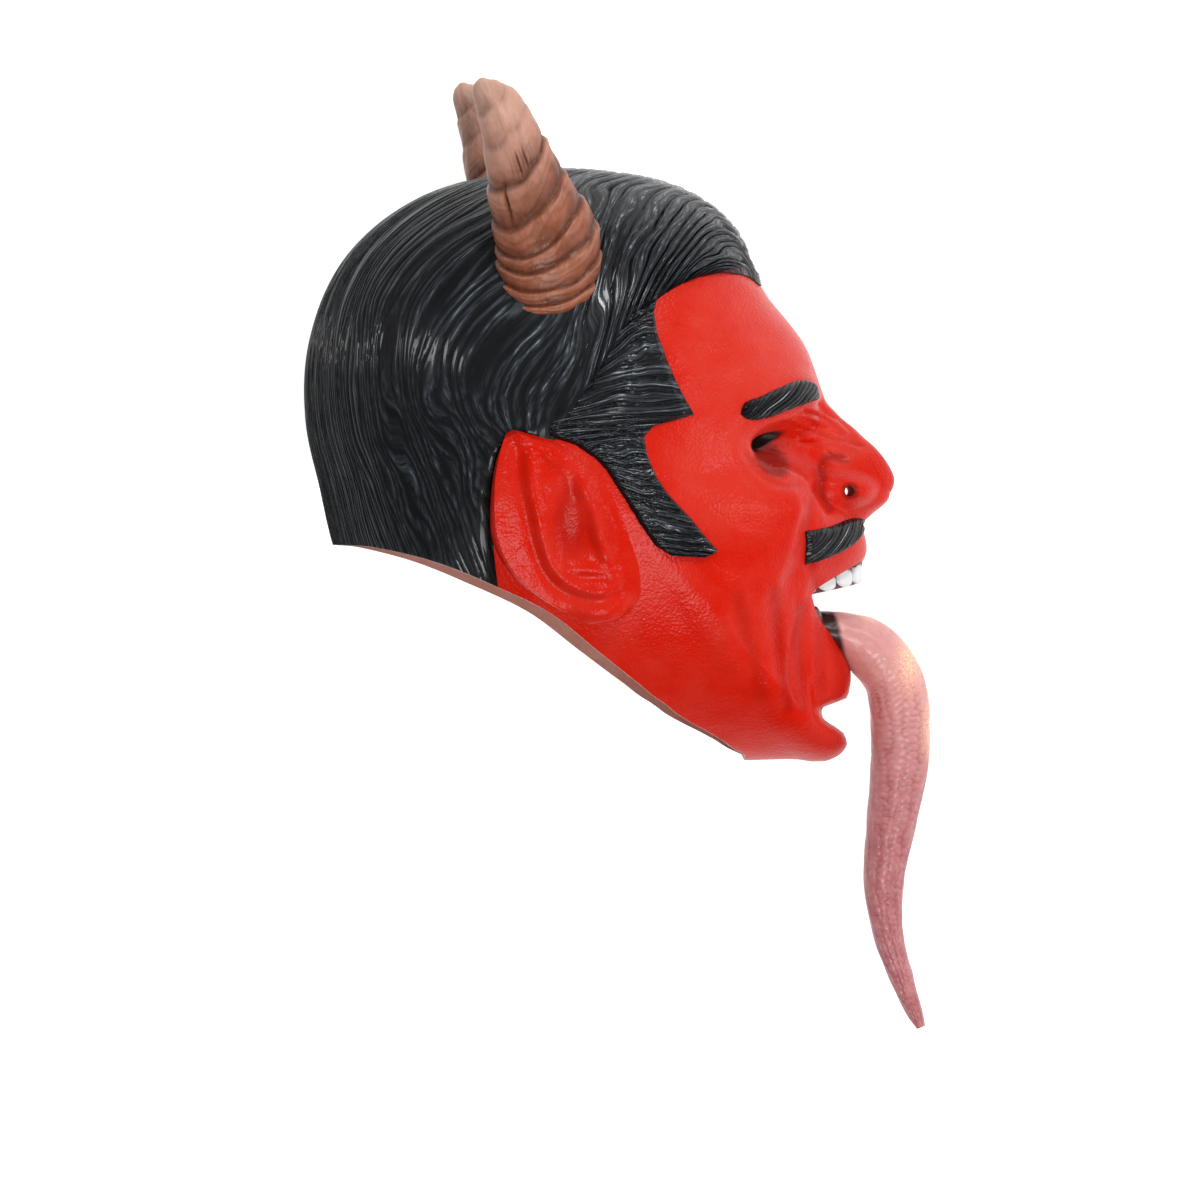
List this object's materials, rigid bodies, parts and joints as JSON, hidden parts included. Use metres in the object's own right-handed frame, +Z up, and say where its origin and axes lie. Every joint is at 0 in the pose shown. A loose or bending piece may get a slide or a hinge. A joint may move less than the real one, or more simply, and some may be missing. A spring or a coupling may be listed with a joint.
{
  "type": "light-up devil mask",
  "caption": "Full-head latex devil mask with ringed horns, pointed ears, carved swept-back hair, moustache, open mouth and a long curling tongue that lights up near its root.",
  "frame": {"origin": "middle of the lying mask's outline, on the floor it lies on", "axes": "+X where the face looks, +Y towards the crown and the horns, +Z up, away from the floor; the mask lies on its left side and its right side is on top"},
  "size_m": [0.2998, 0.4572, 0.1979],
  "materials": {
    "mask_shell": "painted latex, satin; hair black with grey crests",
    "horn_right": "painted latex, satin",
    "horn_left": "painted latex, satin",
    "tongue": "translucent, glossy, lit from inside near the root"
  },
  "bodies": {
    "root": {"mask_shell": "mask_shell", "horn_right": "horn_right", "horn_left": "horn_left", "tongue": "tongue"}
  },
  "joints": []
}
